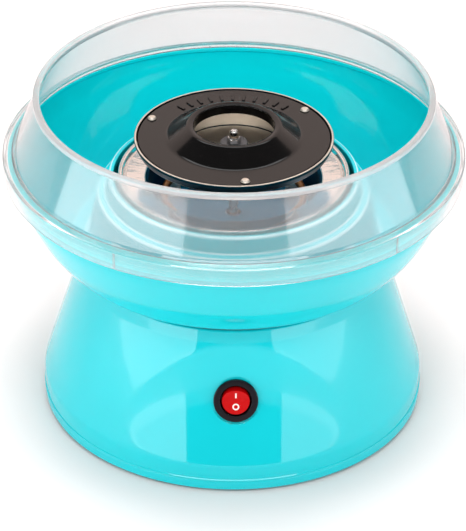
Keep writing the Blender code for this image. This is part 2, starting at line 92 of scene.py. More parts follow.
def principled(name, colour, roughness, metallic=0.0, **sockets):
    """A material with its shader, and its constants on the shader's own sockets."""
    made = bpy.data.materials.new(name)
    made.use_nodes = True
    shader = made.node_tree.nodes["Principled BSDF"]
    shader.inputs["Base Color"].default_value = (*colour, 1)
    shader.inputs["Roughness"].default_value = roughness
    shader.inputs["Metallic"].default_value = metallic
    for socket, value in sockets.items():
        shader.inputs[socket.replace("_", " ")].default_value = value
    return made, shader


def noise(made, scale, detail):
    """A noise over the piece's own space, in features of about 1/scale metres."""
    nodes, links = made.node_tree.nodes, made.node_tree.links
    place = nodes.new("ShaderNodeTexCoord")
    texture = nodes.new("ShaderNodeTexNoise")
    texture.inputs["Scale"].default_value = scale
    texture.inputs["Detail"].default_value = detail
    links.new(place.outputs["Object"], texture.inputs["Vector"])
    return texture.outputs["Fac"]


def polar_noise(made, rings, turns, detail):
    """A noise drawn out into circles round the axis: rings to the metre, and turns to the circle."""
    nodes, links = made.node_tree.nodes, made.node_tree.links
    place = nodes.new("ShaderNodeTexCoord")
    split = nodes.new("ShaderNodeSeparateXYZ")
    links.new(place.outputs["Object"], split.inputs["Vector"])
    length = nodes.new("ShaderNodeVectorMath")
    length.operation = "LENGTH"
    flat = nodes.new("ShaderNodeCombineXYZ")
    links.new(split.outputs["X"], flat.inputs["X"])
    links.new(split.outputs["Y"], flat.inputs["Y"])
    links.new(flat.outputs["Vector"], length.inputs[0])
    around = nodes.new("ShaderNodeVectorMath")
    around.operation = "NORMALIZE"
    links.new(flat.outputs["Vector"], around.inputs[0])
    swept = nodes.new("ShaderNodeVectorMath")
    swept.operation = "SCALE"
    swept.inputs["Scale"].default_value = turns
    links.new(around.outputs["Vector"], swept.inputs[0])
    parts = nodes.new("ShaderNodeSeparateXYZ")
    links.new(swept.outputs["Vector"], parts.inputs["Vector"])
    scaled = nodes.new("ShaderNodeMath")
    scaled.operation = "MULTIPLY"
    scaled.inputs[1].default_value = rings
    links.new(length.outputs["Value"], scaled.inputs[0])
    joined = nodes.new("ShaderNodeCombineXYZ")
    links.new(parts.outputs["X"], joined.inputs["X"])
    links.new(parts.outputs["Y"], joined.inputs["Y"])
    links.new(scaled.outputs["Value"], joined.inputs["Z"])
    texture = nodes.new("ShaderNodeTexNoise")
    texture.inputs["Scale"].default_value = 1.0
    texture.inputs["Detail"].default_value = detail
    links.new(joined.outputs["Vector"], texture.inputs["Vector"])
    return texture.outputs["Fac"]


def ranged(made, source, before, after):
    """The source with one range of its values stretched over another."""
    node = made.node_tree.nodes.new("ShaderNodeMapRange")
    for end, given, wanted in zip(("Min", "Max"), before, after):
        node.inputs[f"From {end}"].default_value = given
        node.inputs[f"To {end}"].default_value = wanted
    made.node_tree.links.new(source, node.inputs["Value"])
    return node.outputs["Result"]


def shade_roughness(made, shader, source, lowest, highest):
    result = ranged(made, source, NOISE_RANGE, (lowest, highest))
    made.node_tree.links.new(result, shader.inputs["Roughness"])


def shade_colour(made, shader, source, first, second, span=NOISE_RANGE):
    """A colour that goes from the first to the second as the source goes over the span."""
    nodes, links = made.node_tree.nodes, made.node_tree.links
    mix = nodes.new("ShaderNodeMix")
    mix.data_type = "RGBA"
    mix.inputs["A"].default_value = (*first, 1)
    mix.inputs["B"].default_value = (*second, 1)
    links.new(ranged(made, source, span, (0, 1)), mix.inputs["Factor"])
    links.new(mix.outputs["Result"], shader.inputs["Base Color"])


def shade_bump(made, shader, source, height, strength=0.5):
    """Relief of the given height in millimetres."""
    nodes, links = made.node_tree.nodes, made.node_tree.links
    bump = nodes.new("ShaderNodeBump")
    bump.inputs["Strength"].default_value = strength
    bump.inputs["Distance"].default_value = height * MM
    links.new(source, bump.inputs["Height"])
    links.new(bump.outputs["Normal"], shader.inputs["Normal"])


def moulded_skin(made, shader, roughness):
    """The faintly uneven gloss of moulded plastic, and its very fine grain."""
    shade_roughness(made, shader, noise(made, 90, 5), roughness * 0.8, roughness * 1.25)
    shade_bump(made, shader, noise(made, 700, 2), 0.006)
    return made


def darker(colour, share):
    return [channel * (1 - share) for channel in colour]


def moulded(name, colour, roughness, spread=0.06, **sockets):
    """Moulded plastic with a faint mottle in its colour."""
    made, shader = principled(name, colour, roughness, **sockets)
    shade_colour(made, shader, noise(made, 14, 4), darker(colour, spread), colour)
    return moulded_skin(made, shader, roughness)


def graded(name, deep, light, bottom, top, roughness, **sockets):
    """Moulded plastic whose colour goes from deep to light between two heights in millimetres."""
    made, shader = principled(name, light, roughness, **sockets)
    nodes, links = made.node_tree.nodes, made.node_tree.links
    place, split = nodes.new("ShaderNodeTexCoord"), nodes.new("ShaderNodeSeparateXYZ")
    links.new(place.outputs["Object"], split.inputs["Vector"])
    shade_colour(made, shader, split.outputs["Z"], deep, light, (bottom * MM, top * MM))
    return moulded_skin(made, shader, roughness)


def spun_metal(name, colour, roughness, rings=4200):
    """Metal turned on a lathe, with its fine circles."""
    made, shader = principled(name, colour, roughness, 1.0, Anisotropic=0.5)
    lines = polar_noise(made, rings, 1.2, 3)
    shade_colour(made, shader, noise(made, 60, 4), darker(colour, 0.14), colour)
    shade_roughness(made, shader, lines, roughness * 0.7, roughness * 1.4)
    shade_bump(made, shader, lines, 0.012, 0.6)
    return made


def plain_metal(name, colour, roughness, grain=300, height=0.01, spread=0.15):
    """Metal with an even, fine grain of the given height in millimetres."""
    made, shader = principled(name, colour, roughness, 1.0)
    shade_colour(made, shader, noise(made, 80, 4), darker(colour, spread), colour)
    shade_roughness(made, shader, noise(made, grain, 4), roughness * 0.7, roughness * 1.4)
    shade_bump(made, shader, noise(made, grain * 2, 2), height)
    return made


def polished_metal(name, colour):
    """Pressed and polished steel: mirror-like, slightly wavy, with faint smears."""
    made, shader = principled(name, colour, 0.06, 1.0)
    shade_colour(made, shader, noise(made, 25, 3), darker(colour, 0.07), colour)
    shade_roughness(made, shader, polar_noise(made, 900, 3, 4), 0.04, 0.13)
    shade_bump(made, shader, polar_noise(made, 45, 7, 3), 0.3, 0.7)
    return made


def clear_plastic(name, haze):
    """Clear plastic with a milky share in what each face lets through."""
    made, shader = principled(name, (0.90, 0.90, 0.905), 0.08, Transmission_Weight=1 - haze, IOR=1.53)
    shade_roughness(made, shader, noise(made, 40, 4), 0.05, 0.11)
    shade_bump(made, shader, noise(made, 30, 2), 0.03, 0.4)
    return made


def make_materials():
    """The materials by short name. The bowl's inside is lighter: painted light, graded darker towards its
    floor as painted shade.
    """
    cyan = (0.004, 0.545, 0.61)
    return {
        "cyan": moulded("cyan_plastic", cyan, 0.05, IOR=1.47),
        # Painted light: a lighter cyan for the bowl's inside and its rim under the guard's skirt. It is
        # painted darker towards the floor as painted shade.
        "inside": graded("cyan_plastic_painted_light", cyan, (0.003, 0.94, 1.0), 107, 137, 0.05, IOR=1.28),
        # Painted highlight: a pale cyan for the edges of the bowl's raised ring.
        "lip": moulded("cyan_plastic_painted_highlight", (0.60, 0.90, 0.93), 0.05, 0.03, IOR=2.6),
        "clear": clear_plastic("clear_plastic", 0.11),
        "skirt": clear_plastic("clear_plastic_skirt", 0.12),
        "bead": clear_plastic("clear_plastic_edge", 0.34),
        "enamel": moulded("black_enamel", (0.002, 0.0016, 0.0016), 0.14, 0.2, IOR=1.44),
        "dark": moulded("dark_plastic", (0.006, 0.005, 0.008), 0.2, 0.2, IOR=1.28),
        "red": moulded("red_plastic", (0.5, 0.001, 0.002), 0.12, 0.1, IOR=1.22),
        "white": moulded("white_marking", (0.85, 0.80, 0.78), 0.35, 0.05),
        "rubber": moulded("rubber", (0.018, 0.017, 0.018), 0.75, 0.3),
        "head": spun_metal("brushed_aluminium", (0.93, 0.85, 0.75), 0.42),
        # Painted shade: near-black aluminium for the head's side under its rim and the crease in its cup.
        "painted_shade_aluminium": spun_metal("aluminium_painted_shade", (0.012, 0.035, 0.055), 0.35),
        # Painted reflection: dark blue for the pan's well wall, standing for the shaded cyan bowl mirrored in
        # it.
        "shaded_reflection_steel": spun_metal("steel_painted_shaded_reflection", (0.03, 0.17, 0.28), 0.5, 2600),
        # Painted reflection: cyan-blue for the pan's well floor and the head's underside, where the cyan bowl
        # shows in them.
        "cyan_reflection_steel": spun_metal("steel_painted_cyan_reflection", (0.06, 0.52, 0.80), 0.5, 2600),
        "chrome": polished_metal("polished_steel", (0.86, 0.84, 0.82)),
        "steel": plain_metal("steel", (0.66, 0.64, 0.62), 0.28),
        "iron": plain_metal("iron", (0.20, 0.20, 0.21), 0.5, 500, 0.03),
        "brass": plain_metal("brass", (0.48, 0.34, 0.15), 0.35),
        "bronze": plain_metal("bronze", (0.24, 0.16, 0.09), 0.5, 900, 0.03),
        "copper": plain_metal("heater_sheath", (0.62, 0.27, 0.10), 0.35, 200, 0.02, 0.5),
        "ceramic": moulded("ceramic", (0.80, 0.77, 0.70), 0.5),
        "mica": moulded("mica", (0.07, 0.09, 0.10), 0.5, 0.12),
        "carbon": moulded("carbon", (0.02, 0.02, 0.02), 0.7, 0.3),
        "board": moulded("circuit_board", (0.03, 0.20, 0.08), 0.45, 0.3),
        "sleeve": moulded("wire_sleeve", (0.04, 0.035, 0.035), 0.5, 0.2),
    }


# ---------------------------------------------------------------- shapes

def rounded(outline, closed=True, steps=ARC):
    """The outline with each corner replaced by an arc of that corner's rounding."""
    made = []
    count = len(outline)
    for i, (r, z, radius) in enumerate(outline):
        here = Vector((r, z))
        if radius <= 0 or (not closed and i in (0, count - 1)):
            made.append((r, z))
            continue
        before = Vector(outline[i - 1][:2]) - here
        after = Vector(outline[(i + 1) % count][:2]) - here
        half = before.angle(after) / 2
        if half > math.radians(89.5):       # so nearly straight that it needs no arc
            made.append((r, z))
            continue
        room = 0.49 * min(before.length, after.length)
        back = min(radius / math.tan(half), room)
        start = here + before.normalized() * back
        end = here + after.normalized() * back
        for j in range(steps + 1):
            t = j / steps
            ends = start * (1 - t) ** 2 + end * t ** 2
            made.append(tuple(ends + here * 2 * t * (1 - t)))
    return made


def spline(points, spacing):
    """Points about one spacing apart on a natural cubic curve through the given ones."""
    given = np.array(points, float)
    gaps = np.linalg.norm(np.diff(given, axis=0), axis=1)
    at = np.concatenate([[0], np.cumsum(gaps)])
    count = len(at)
    system = np.eye(count)
    right = np.zeros((count, 2))
    for i in range(1, count - 1):
        system[i, i - 1:i + 2] = gaps[i - 1] / 6, (gaps[i - 1] + gaps[i]) / 3, gaps[i] / 6
        right[i] = (given[i + 1] - given[i]) / gaps[i] - (given[i] - given[i - 1]) / gaps[i - 1]
    bend = np.linalg.solve(system, right)
    steps = np.linspace(0, at[-1], max(2, round(at[-1] / spacing)) + 1)
    made = []
    for s in steps:
        i = min(np.searchsorted(at, s, "right") - 1, count - 2)
        h = gaps[i]
        a, b = (at[i + 1] - s) / h, (s - at[i]) / h
        point = (a * given[i] + b * given[i + 1]
                 + ((a ** 3 - a) * bend[i] + (b ** 3 - b) * bend[i + 1]) * h * h / 6)
        made.append((float(point[0]), float(point[1])))
    return made


def clockwise(points):
    """The points in the order that runs down the outer side, so that faces look outwards."""
    ahead = points[1:] + points[:1]
    area = sum(a[0] * b[1] - b[0] * a[1] for a, b in zip(points, ahead))
    return points if area < 0 else points[::-1]


def new_object(name, data, material):
    obj = bpy.data.objects.new(name, data)
    bpy.context.scene.collection.objects.link(obj)
    data.materials.append(material)
    return obj


def finished(obj):
    """Smooth shading that keeps the sharp edges."""
    obj.data.shade_smooth()
    obj.data.set_sharp_from_angle(angle=SHARP)
    weighted = obj.modifiers.new("weighted", "WEIGHTED_NORMAL")
    weighted.keep_sharp = True
    return obj


def lathe(name, points, material, segments=FINE, shape=None):
    """A closed turned mesh. Points on the axis close it there. shape moves the points where given."""
    points = clockwise(list(points))
    on_axis = [r < AXIS for r, _ in points]
    solid = any(on_axis)
    if solid:
        first = next(i for i, on in enumerate(on_axis) if on and on_axis[i - 1])
        points = points[first:] + points[:first]
    turn = np.arange(segments) * math.tau / segments
    rows, where = [], []
    for r, z in points:
        if r < AXIS:
            where.append([len(rows)] * segments)
            rows.append((0.0, 0.0, z))
            continue
        where.append(list(range(len(rows), len(rows) + segments)))
        rows.extend(zip(r * np.cos(turn), r * np.sin(turn), np.full(segments, z)))
    faces = []
    pairs = list(zip(where, where[1:]))
    if not solid:
        pairs.append((where[-1], where[0]))
    for upper, lower in pairs:
        for i in range(segments):
            j = (i + 1) % segments
            loop = [upper[i], upper[j], lower[j], lower[i]]
            corners = list(dict.fromkeys(loop))
            if len(corners) > 2:
                faces.append(corners[::-1])
    place = np.array(rows)
    if shape:
        place = shape(place)
    mesh = bpy.data.meshes.new(name)
    mesh.from_pydata([tuple(map(float, v)) for v in place * MM], [], faces)
    mesh.validate()
    return finished(new_object(name, mesh, material))


def bevelled_box(name, size, material, bevel, segments=3):
    """A box at the origin, with its size and bevel in millimetres."""
    shape = bmesh.new()
    bmesh.ops.create_cube(shape, size=1.0)
    bmesh.ops.scale(shape, vec=Vector(size) * MM, verts=shape.verts)
    bmesh.ops.bevel(shape, geom=shape.edges[:], offset=bevel * MM, segments=segments, affect="EDGES",
                    profile=0.5)
    mesh = bpy.data.meshes.new(name)
    shape.to_mesh(mesh)
    shape.free()
    return finished(new_object(name, mesh, material))


def placed(obj, x=0.0, y=0.0, z=0.0, turn=(0, 0, 0)):
    """Moves the mesh itself, in millimetres, so that the object stays at the origin."""
    move = Matrix.Translation(Vector((x, y, z)) * MM) @ Euler(turn).to_matrix().to_4x4()
    obj.data.transform(move)
    return obj


def merged(first, *others):
    """One object of several meshes, with their materials."""
    shape = bmesh.new()
    slots = []
    for obj in (first, *others):
        for made in obj.data.materials:
            if made not in slots:
                slots.append(made)
    for obj in (first, *others):
        numbers = [slots.index(m) for m in obj.data.materials]
        start = len(shape.faces)
        shape.from_mesh(obj.data)
        shape.faces.ensure_lookup_table()
        for face in shape.faces[start:]:
            face.material_index = numbers[min(face.material_index, len(numbers) - 1)]
    shape.to_mesh(first.data)
    shape.free()
    first.data.materials.clear()
    for made in slots:
        first.data.materials.append(made)
    for obj in others:
        bpy.data.objects.remove(obj)
    return first


def cut(obj, *tools):
    """Takes the tools' shapes out of a piece, and removes the tools."""
    for modifier in list(obj.modifiers):
        obj.modifiers.remove(modifier)
    for tool in tools:
        step = obj.modifiers.new("cut", "BOOLEAN")
        step.operation = "DIFFERENCE"
        step.solver = "EXACT"
        step.object = tool
    mesh = bpy.data.meshes.new_from_object(obj.evaluated_get(bpy.context.evaluated_depsgraph_get()))
    obj.modifiers.clear()
    old = obj.data
    name = old.name
    obj.data = mesh
    bpy.data.meshes.remove(old)
    mesh.name = name
    for tool in tools:
        bpy.data.objects.remove(tool)
    return finished(obj)


def plug(radius, bottom, top, segments=HOLE):
    """A round cutting tool along Z."""
    return lathe("tool", [(0, top), (radius, top), (radius, bottom), (0, bottom)], None, segments)


def keep(obj, body, slot, *nodes):
    """The piece rides on its body and stands for its nodes. The slot is not used."""
    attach(obj, body)
    if nodes:
        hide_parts(*nodes)


def polar(radius, degrees):
    """X and Y of a place on a circle about the axis."""
    turn = math.radians(degrees)
    return radius * math.cos(turn), radius * math.sin(turn)


# ---------------------------------------------------------------- the housing and its bottom

SHOULDER_Z = 89.3
WALL_LEAN = math.radians(16.7)          # how far the front wall leans back
SWITCH_AIM = math.radians(90 - 15), 0, 0          # the switch looks to the front and 15 degrees up
ROCKER_SWING = math.radians(11)         # each way from level
DISH = {"depth": 2.0, "height": 60.0, "radius": 116.5, "wall": 94.7}


def switch_place():
    """The switch's centre on the front wall, in millimetres."""
    joint = next(j for j in frame["joints"] if j["name"] == "rocker_tilt")
    return Vector(joint["pos_m"]) / MM


def dished(place):
    """Sinks the front of the housing's face into its shallow dish."""
    centre = switch_place()
    lean = math.sin(WALL_LEAN), math.cos(WALL_LEAN)
    deepest = np.array([0, -DISH["wall"] + DISH["depth"] * lean[1], centre.z - DISH["depth"] * lean[0]])
    out = np.array([0, -lean[1], lean[0]])
    up = np.array([0, lean[0], lean[1]])
    axis = deepest - out * DISH["radius"]
    half = DISH["height"] / 2 / lean[1]
    arc_radius = (half ** 2 + DISH["depth"] ** 2) / (2 * DISH["depth"])

    def beyond(points):
        """How far each point is outside the dish's face."""
        from_axis = points - axis
        along = from_axis @ up
        radial = np.linalg.norm(from_axis - along[:, None] * up, axis=1)
        rise = arc_radius - np.sqrt(np.maximum(arc_radius ** 2 - along ** 2, 0))
        return radial - DISH["radius"] - rise

    flat, height = np.linalg.norm(place[:, :2], axis=1), place[:, 2]
    outer_skin = flat > 108 - 0.297 * height
    face = (place[:, 1] < 0) & (height > 12) & (height < 88) & outer_skin
    points = place[face]
    depth = beyond(points)
    blend = 0.25          # softness of the dish's edge
    sunk = (depth + np.sqrt(depth ** 2 + blend ** 2)) / 2
    sunk = np.where(depth > -6 * blend, sunk, 0)
    scale = 1 - sunk / np.linalg.norm(points[:, :2], axis=1) / math.cos(WALL_LEAN)
    points[:, :2] *= scale[:, None]
    moved = place.copy()
    moved[face] = points
    return moved


def evenly(a, b, spacing):
    """Points on a straight stretch of an outline, ends left out."""
    count = max(1, round(math.dist(a, b) / spacing))
    return [tuple(a[k] + (b[k] - a[k]) * i / count for k in (0, 1)) for i in range(1, count)]


def face_line():
    """The outer face of the housing, with rounded knees and a fine parting line near its foot."""
    foot_r = reach("base_housing")
    knees = [(83.5, SHOULDER_Z - 1.3, 0), (105.6, 17.5, 14), (foot_r - 0.35, 11.0, 6),
             (foot_r - 0.5, 8.3, 0.15), (foot_r, 7.8, 0.3), (foot_r - 0.4, low("base_housing").z, 0)]
    line = rounded(knees, closed=False, steps=FINE_ARC)
    made = [line[0]]
    for a, b in zip(line, line[1:]):
        made += evenly(a, b, 0.9) + [b]
    return made


def make_housing(look):
    """The shell: the collar round the pan, the deck, the ring for the bowl, the shoulder and the face."""
    bottom, top = low("base_housing").z, high("base_housing").z
    foot_r = reach("base_housing")
    deck = low("bowl").z - 0.3
    face = face_line()[6:]          # the shoulder's rounding takes the place of the first points
    shoulder = rounded([(79.0, deck, 0), (79.0, SHOULDER_Z + 0.3, 0.8), (83.5, SHOULDER_Z, 1.4),
                        (*face[0], 0)], closed=False)[1:-1]
    collar = rounded([(51, top, 0.5), (62, top, 0.8), (62, deck, 1.0), (73.2, deck, 0.4),
                      (73.2, 96, 0.7), (75.6, 96, 0.7), (75.6, deck, 0.4), (79, deck, 0.6),
                      (79, SHOULDER_Z, 0)], closed=False)[:-1]
    lining = [(foot_r - 3.6, bottom), (foot_r - 4.2, 13), (100.4, 20), (97.4, 30), (80.0, 86.2),
              (76, 87.4), (76, deck - 2.5), (59.5, deck - 2.5), (59.5, 101), (50, 101), (50, 103.7),
              (59.5, 103.7), (59.5, top - 2.5), (51, top - 2.5)]
    outline = collar + shoulder + face + lining
    housing = lathe("housing_shell", outline, look["cyan"], FINEST, dished)
    centre = switch_place()
    seat = placed(plug(13.2, 0, 12, MEDIUM), *centre, SWITCH_AIM)
    opening = placed(plug(10.3, -14, 12, SMALL), *centre, SWITCH_AIM)
    backwards = math.radians(90), 0, 0
    gland = placed(plug(5.8, -12, 12, SMALL), 0, foot_r, middle("cord_gland").z, backwards)
    cut(housing, seat, opening, gland)
    keep(housing, "base", "cyan_plastic", "base_housing")


def make_shade_ring(look):
    """A thin dark ring on the shoulder, under the bowl: painted shade for the shadow in the gap there."""
    top = SHOULDER_Z + 1.4
    outline = [(79.4, SHOULDER_Z, 0), (82.7, SHOULDER_Z, 0), (82.7, top, 0.3), (79.4, top, 0.3)]
    keep(lathe("shoulder_shade_ring", rounded(outline), look["rubber"]), "base", "rubber")


def make_bottom(look):
    """The bottom cover, with a fine groove, eight vents and its holes."""
    floor_top, floor_low, groove_top, edge_top = 5.5, 3.0, 3.5, 7.0
    rim = reach("bottom_cover")
    outline = [(0, floor_top, 0), (99.4, floor_top, 0.5), (99.4, 9.5, 0.5), (101.6, 9.5, 0.6),
               (101.6, edge_top, 0.2), (rim, edge_top, 0.9), (rim, 1.5, 1.8), (103.2, 1.5, 0.6),
               (102.4, floor_low, 0.6), (60, floor_low, 0), (59.6, groove_top, 0), (58.8, groove_top, 0),
               (58.4, floor_low, 0), (0, floor_low, 0)]
    tray = lathe("bottom_tray", rounded(outline), look["cyan"])
    tools = []
    vents, vent_ring = 8, 52
    for i in range(vents):
        degrees = 360 / vents * i
        vent = bevelled_box("tool", (26, 3, 8), None, 1.2)
        tools.append(placed(vent, *polar(vent_ring, degrees), 4, (0, 0, math.radians(degrees))))
    for node, count, radius in (("foot", 4, 3.0), ("cover_screw", 3, 1.9)):
        for i in range(1, count + 1):
            at = middle(f"{node}_{i}")
            tools.append(placed(plug(radius, 0, 8), at.x, at.y))
    cut(tray, *tools)
    keep(tray, "base", "cyan_plastic", "bottom_cover")


def cross_recess(head):
    """The tools for a cross recess in the bottom of a screw's head."""
    return [placed(bevelled_box("tool", size, None, 0.15, 1), z=head + 0.35)
            for size in ((3.6, 0.8, 1.1), (0.8, 3.6, 1.1))]


def make_feet_and_screws(look):
    for i in range(1, 5):
        node = f"foot_{i}"
        at = middle(node)
        outline = [(0, 8.2, 0), (2.0, 8.2, 0.3), (3.6, 5.9, 0.2), (2.6, 5.8, 0), (2.6, 2.7, 0.3),
                   (8.5, 2.7, 0.7), (8.4, 0.2, 0.6), (7.6, 0, 0.3), (5.6, 0, 0), (5.3, 0.5, 0.2),
                   (0, 0.5, 0)]
        foot = placed(lathe(f"rubber_foot_{i}", rounded(outline), look["rubber"], SMALL), at.x, at.y)
        keep(foot, "base", "rubber", node)
    for i in range(1, 4):
        node = f"cover_screw_{i}"
        at, head, point = middle(node), low(node).z, high(node).z
        outline = [(0, point, 0), (1.5, point - 2.5, 0), (1.5, head + 1.8, 0), (3.0, head + 1.8, 0.2),
                   (2.9, head, 0.9), (0, head, 0)]
        screw = lathe(f"bottom_screw_{i}", rounded(outline), look["steel"], SMALL)
        cut(screw, *cross_recess(head))
        keep(placed(screw, at.x, at.y), "base", "steel", node)


def make_gland(look):
    """The rubber bush in the rear wall, whose heights count outwards from the foot's edge."""
    outline = [(3.6, 6.2, 0.8), (6.4, 6.2, 0.6), (7.6, 5.0, 0.6), (7.6, 2.0, 0.4), (5.4, 1.6, 0.2),
               (5.4, -7.0, 0.2), (7.2, -7.3, 0.3), (6.4, -10.8, 0.6), (3.6, -10.8, 0.4)]
    bush = lathe("lead_bush", rounded(outline), look["rubber"], SMALL)
    placed(bush, 0, reach("base_housing"), middle("cord_gland").z, (math.radians(-90), 0, 0))
    keep(bush, "base", "rubber", "cord_gland")


# ---------------------------------------------------------------- the switch

def rocker_top(y):
    """The height of the rocker's face over its pivot: two wings that meet in a soft valley."""
    lowest, softness = 1.5, 0.4
    return lowest + math.tan(ROCKER_SWING) * (np.sqrt(y ** 2 + softness ** 2) - softness)


def rocker_shape(place):
    """Lifts the topmost millimetre of a disc into the rocker's two wings."""
    share = np.clip(place[:, 2] + 1.0, 0, 1)
    moved = place.copy()
    moved[:, 2] += share * rocker_top(place[:, 1])
    return moved


def make_switch(look):
    """The switch's body with its bezel, the rocker at off, and two generic marks on its wings."""
    centre = switch_place()
    outline = [(0, -6.5, 0), (8.5, -6.5, 0.5), (8.5, 2.0, 0.5), (12.0, 2.0, 1.3), (12.0, 0.3, 0.2),
               (9.9, 0.3, 0), (9.9, -16.5, 0.6), (0, -17, 0)]
    body = lathe("switch_body", rounded(outline), look["dark"], SWITCH)
    keep(placed(body, *centre, SWITCH_AIM), "base", "dark_plastic", "switch_housing")

    flat_r, button_r = 6.7, 7.5
    face = [(r, 0.0) for r in np.linspace(0, flat_r, 15)]
    edge = rounded([(flat_r, 0, 0), (button_r, 0, 0.7), (button_r, -1.5, 0)], closed=False)[1:]
    side = [(button_r, -2.5), (6.2, -4.5), (0, -4.5)]
    rocker = lathe("rocker_button", face + edge + side, look["red"], SWITCH, rocker_shape)
    tilt = (SWITCH_AIM[0] + ROCKER_SWING, 0, 0)
    keep(placed(rocker, *centre, tilt), "rocker", "red_plastic", "switch_rocker")

    bar = bevelled_box("mark_on", (0.8, 3.4, 0.24), look["white"], 0.1)
    band = [(1.1, 0.12, 0.05), (1.85, 0.12, 0.05), (1.85, -0.12, 0), (1.1, -0.12, 0)]
    ring = lathe("mark_off", rounded(band), look["white"], SMALL)
    for mark, y, way in ((bar, 4.0, 1), (ring, -3.0, -1)):
        placed(mark, 0, y, float(rocker_top(y)), (way * ROCKER_SWING, 0, 0))
        keep(placed(mark, *centre, tilt), "rocker", "red_plastic")


# ---------------------------------------------------------------- the heat pan and heater

def sheet(points, thickness):
    """A closed outline of even thickness under an open one that runs inwards."""
    given = np.array(points, float)
    ahead = np.gradient(given, axis=0)
    normals = np.stack([-ahead[:, 1], ahead[:, 0]], axis=1)
    normals /= np.linalg.norm(normals, axis=1)[:, None]
    under = given + normals * thickness
    return [tuple(p) for p in given] + [tuple(p) for p in under[::-1]]


HEATER_R = 38.0
LEGS = 101, 79                # where the heater's two legs go down, in degrees


def make_pan(look):
    """The polished pan, whose well carries painted reflections of the cyan bowl: dark blue on its shaded
    wall, cyan-blue on its floor.
    """
    rim, top, floor = reach("heat_pan"), high("heat_pan").z, low("mica_insulator").z + 2.6
    path = [(rim, 135.4, 0), (rim, top, 1.3), (60.7, top, 1.2), (59.3, 135.9, 0.7), (58.2, 136.6, 0.5),
            (48.3, 135.7, 1.4), (46.6, 133.4, 1.0), (46.0, 116.0, 2.0), (43.0, floor, 2.0), (4.4, floor, 0)]
    pan = lathe("steel_pan", sheet(rounded(path, closed=False), 0.8), look["chrome"])
    through = 108, 116            # heights that a hole tool goes between
    tools = []
    for i in range(1, 4):
        at = middle(f"pan_screw_{i}")
        tools.append(placed(plug(1.9, *through), at.x, at.y))
    for degrees in LEGS:
        tools.append(placed(plug(2.9, *through), *polar(HEATER_R, degrees)))
    cut(pan, *tools)
    pan.data.materials.append(look["shaded_reflection_steel"])
    pan.data.materials.append(look["cyan_reflection_steel"])
    # Painted reflections: the well's wall takes the dark blue, its floor the cyan-blue.
    well_r, floor_r = 47.6, 42.6
    for face in pan.data.polygons:
        out = face.center.xy.length / MM
        face.material_index = 2 if out < floor_r else 1 if out < well_r else 0
    keep(pan, "base", "polished_steel", "heat_pan")


def make_heater(look):
    """The tubular heater: up one leg, round the ring, whose ends bend down softly, and down the other."""
    tube, drop, bend = 2.2, 4, 6
    ring_z = high("heater_ring").z - tube
    foot_z = low("heater_ring").z
    first, last = LEGS[0], LEGS[1] + 360
    route = [(*polar(HEATER_R, LEGS[0]), z) for z in np.linspace(foot_z, ring_z - drop, 12)]
    for a in np.linspace(first + 2, last - 2, 160):
        share = max(0, 1 - min(a - first, last - a) / bend)
        route.append((*polar(HEATER_R, a), ring_z - drop * share ** 2))
    route += [(*polar(HEATER_R, LEGS[1]), z) for z in np.linspace(ring_z - drop, foot_z, 12)]
    curve = bpy.data.curves.new("heater_tube", "CURVE")
    curve.dimensions = "3D"
    curve.bevel_depth = tube * MM
    curve.bevel_resolution = 6
    curve.use_fill_caps = True
    line = curve.splines.new("POLY")
    line.points.add(len(route) - 1)
    for point, place in zip(line.points, route):
        point.co = (*(Vector(place) * MM), 1)
    heater = new_object("heater_tube", curve, look["copper"])
    keep(heater, "base", "heater_sheath", "heater_ring")

    for i in range(1, 4):
        node = f"heater_post_{i}"
        at, top, foot = middle(node), high(node).z, low(node).z
        outline = [(0, top, 0), (3.2, top, 0.5), (3.4, top - 3, 0.4), (4.0, top - 3.4, 0.4),
                   (4.0, foot, 0.3), (0, foot, 0)]
        post = lathe(f"ceramic_post_{i}", rounded(outline), look["ceramic"], SMALL)
        keep(placed(post, at.x, at.y), "base", "ceramic", node)


# ---------------------------------------------------------------- the spinning head

CUP_FLOOR = 149.4


def make_head_shells(look):
    """The spun pan with its sugar cup, and the domed cover over it."""
    rim, top = reach("head_pan"), high("head_pan").z
    floor, hub, cup_r, crease_r = CUP_FLOOR, 2.8, 32.3, 30.7
    outline = [(52.7, top, 0.4), (rim, top, 0.8), (rim - 0.1, 158.9, 0.8), (52.2, 155.0, 1.0),
               (33.2, 155.0, 1.2), (32.4, floor - 0.8, 1.0), (hub, floor - 0.8, 0), (hub, floor, 0),
               (crease_r, floor, 0), (31.4, floor, 0.3), (31.5, 161.0, 0.3), (cup_r, 161.0, 0.3),
               (32.4, 155.9, 0.5), (52.7, 155.9, 0.6)]
    pan = lathe("spun_pan", rounded(outline), look["head"])
    path = [(52.1, 158.2, 0), (52.1, 160.0, 0.7), (36.5, 160.1, 5.0), (25.0, 167.9, 3.2),
            (21.8, 167.3, 1.0), (21.8, 162.0, 0)]
    dome = sheet(rounded(path, closed=False, steps=FINE_ARC), 0.9)
    cover = lathe("dome_cover", dome, look["enamel"])
    for shell in (pan, cover):
        holes = []
        for i in range(1, 4):
            at = middle(f"head_rivet_{i}")
            holes.append(placed(plug(1.7, 150, 165), at.x, at.y))
        cut(shell, *holes)
    # Painted shade on the pan's side below its rim and in the cup's crease, and a painted cyan reflection on
    # its underside.
    pan.data.materials.append(look["painted_shade_aluminium"])
    pan.data.materials.append(look["cyan_reflection_steel"])
    for face in pan.data.polygons:
        out, z = face.center.xy.length / MM, face.center.z / MM
        below = z < 155.2 or (out > 52.3 and face.normal.z < 0.6)
        under = below and face.normal.z < -0.9
        crease = crease_r < out < 31.6 and floor - 0.1 < z < floor + 0.6
        face.material_index = 2 if under else int(crease or (below and out > cup_r))
    keep(pan, "spinner", "brushed_aluminium", "head_pan")
    keep(cover, "spinner", "black_enamel", "head_cover")


